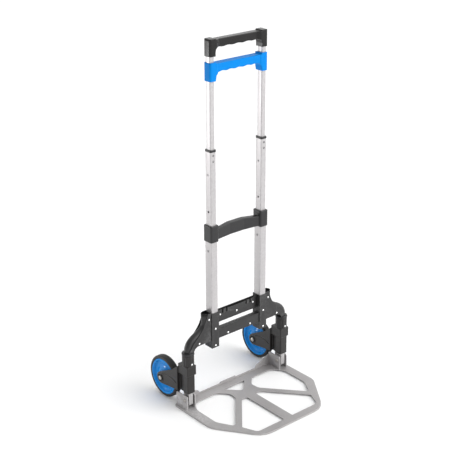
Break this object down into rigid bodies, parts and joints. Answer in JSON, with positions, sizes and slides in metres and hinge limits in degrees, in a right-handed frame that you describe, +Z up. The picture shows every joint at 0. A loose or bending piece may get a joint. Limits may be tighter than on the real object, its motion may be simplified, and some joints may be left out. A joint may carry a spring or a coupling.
{
  "type": "convertible hand truck",
  "caption": "Folding hand truck with a fold-up nose plate, swing-in wheels, a telescopic twin-tube frame and a sprung release handle.",
  "frame": {"origin": "on the floor, under the centre of the bounding box", "axes": "+Z up, the nose plate reaches towards -Y, the wheels stand towards +Y, the left side is -X"},
  "size_m": [0.4002, 0.411, 1.042],
  "materials": {
    "plate": "satin",
    "tube_alloy": "satin",
    "lug_alloy": "satin",
    "bolt_steel": "zinc plated",
    "rivet_steel": "plated",
    "pin_steel": "plated",
    "housing_steel": "textured powder coat",
    "bracket_plastic": "moulded",
    "collar_plastic": "moulded",
    "bush_plastic": "moulded",
    "crossbar_plastic": "moulded",
    "wheel_blue": "gloss",
    "tyre_rubber": "moulded rubber",
    "handle_blue": "semi-gloss",
    "handle_black": "semi-gloss"
  },
  "bodies": {
    "frame": {"leg_tube_left": "housing_steel", "leg_tube_right": "housing_steel", "leg_collar_left": "collar_plastic", "leg_collar_right": "collar_plastic", "hinge_lug_left": "lug_alloy", "hinge_lug_right": "lug_alloy", "upper_strip_rivet_left": "rivet_steel", "upper_strip_rivet_right": "rivet_steel", "lower_strip_rivet_left": "rivet_steel", "lower_strip_rivet_right": "rivet_steel", "upper_wing_rivet_left": "rivet_steel", "upper_wing_rivet_right": "rivet_steel", "lower_wing_rivet_left": "rivet_steel", "lower_wing_rivet_right": "rivet_steel", "lower_band_rivet_left": "rivet_steel", "lower_band_rivet_right": "rivet_steel", "upper_band_rivet_left": "rivet_steel", "upper_band_rivet_right": "rivet_steel", "centre_band_rivet": "rivet_steel", "base_front_shell": "housing_steel", "base_rear_shell": "housing_steel", "outer_tube_left": "tube_alloy", "outer_tube_right": "tube_alloy", "crossbar": "crossbar_plastic"},
    "nose_plate": {"nose_plate": "plate", "plate_pivot_bolt_left": "bolt_steel", "plate_pivot_bolt_right": "bolt_steel"},
    "middle_stage": {"middle_tube_left": "tube_alloy", "tube_collar_left": "collar_plastic", "middle_glide_plug_left": "bush_plastic", "middle_tube_right": "tube_alloy", "tube_collar_right": "collar_plastic", "middle_glide_plug_right": "bush_plastic"},
    "inner_stage": {"upper_handle": "handle_black", "inner_tube_left": "tube_alloy", "inner_glide_plug_left": "bush_plastic", "inner_tube_right": "tube_alloy", "inner_glide_plug_right": "bush_plastic"},
    "release_handle": {"release_handle": "handle_blue"},
    "bracket_left": {"wheel_bracket_left": "bracket_plastic", "wheel_axle_left": "bolt_steel", "neck_rivet_left": "rivet_steel"},
    "wheel_left": {"wheel_rim_left": "wheel_blue", "tyre_left": "tyre_rubber", "wheel_bush_left": "bush_plastic"},
    "middle_pin_left": {"middle_lock_pin_left": "pin_steel"},
    "inner_pin_left": {"inner_lock_pin_left": "pin_steel"},
    "bracket_right": {"wheel_bracket_right": "bracket_plastic", "wheel_axle_right": "bolt_steel", "neck_rivet_right": "rivet_steel"},
    "wheel_right": {"wheel_rim_right": "wheel_blue", "tyre_right": "tyre_rubber", "wheel_bush_right": "bush_plastic"},
    "middle_pin_right": {"middle_lock_pin_right": "pin_steel"},
    "inner_pin_right": {"inner_lock_pin_right": "pin_steel"}
  },
  "joints": [
    {"name": "plate_fold", "type": "hinge", "parent": "frame", "child": "nose_plate", "pos_m": [0, 0.0395, 0.031], "axis": [-1, 0, 0], "range_deg": [0, 90]},
    {"name": "bracket_swing_left", "type": "hinge", "parent": "frame", "child": "bracket_left", "pos_m": [-0.176, 0.0395, 0.1], "axis": [0, 0, -1], "range_deg": [0, 90]},
    {"name": "wheel_spin_left", "type": "hinge", "parent": "bracket_left", "child": "wheel_left", "pos_m": [-0.176, 0.143, 0.0625], "axis": [1, 0, 0], "continuous": true},
    {"name": "bracket_swing_right", "type": "hinge", "parent": "frame", "child": "bracket_right", "pos_m": [0.176, 0.0395, 0.1], "axis": [0, 0, 1], "range_deg": [0, 90]},
    {"name": "wheel_spin_right", "type": "hinge", "parent": "bracket_right", "child": "wheel_right", "pos_m": [0.176, 0.143, 0.0625], "axis": [1, 0, 0], "continuous": true},
    {"name": "middle_slide", "type": "slide", "parent": "frame", "child": "middle_stage", "axis": [0, 0, 1], "range_m": [-0.2065, 0]},
    {"name": "inner_slide", "type": "slide", "parent": "middle_stage", "child": "inner_stage", "axis": [0, 0, 1], "range_m": [-0.1825, 0]},
    {"name": "release_lift", "type": "slide", "parent": "inner_stage", "child": "release_handle", "axis": [0, 0, 1], "range_m": [0, 0.01], "stiffness_N_per_m": 400, "springref_m": -0.01},
    {"name": "middle_pin_left_slide", "type": "slide", "parent": "middle_stage", "child": "middle_pin_left", "axis": [1, 0, 0], "range_m": [0, 0.0025]},
    {"name": "inner_pin_left_slide", "type": "slide", "parent": "inner_stage", "child": "inner_pin_left", "axis": [1, 0, 0], "range_m": [0, 0.0025]},
    {"name": "middle_pin_right_slide", "type": "slide", "parent": "middle_stage", "child": "middle_pin_right", "axis": [1, 0, 0], "range_m": [0, 0.0025]},
    {"name": "inner_pin_right_slide", "type": "slide", "parent": "inner_stage", "child": "inner_pin_right", "axis": [1, 0, 0], "range_m": [0, 0.0025]}
  ],
  "couplings": [
    {"joint": "bracket_swing_left", "follows": "plate_fold", "ratio": 1},
    {"joint": "bracket_swing_right", "follows": "plate_fold", "ratio": 1},
    {"joint": "middle_pin_left_slide", "follows": "release_lift", "ratio": 0.25},
    {"joint": "inner_pin_left_slide", "follows": "release_lift", "ratio": 0.25},
    {"joint": "middle_pin_right_slide", "follows": "release_lift", "ratio": 0.25},
    {"joint": "inner_pin_right_slide", "follows": "release_lift", "ratio": 0.25}
  ]
}
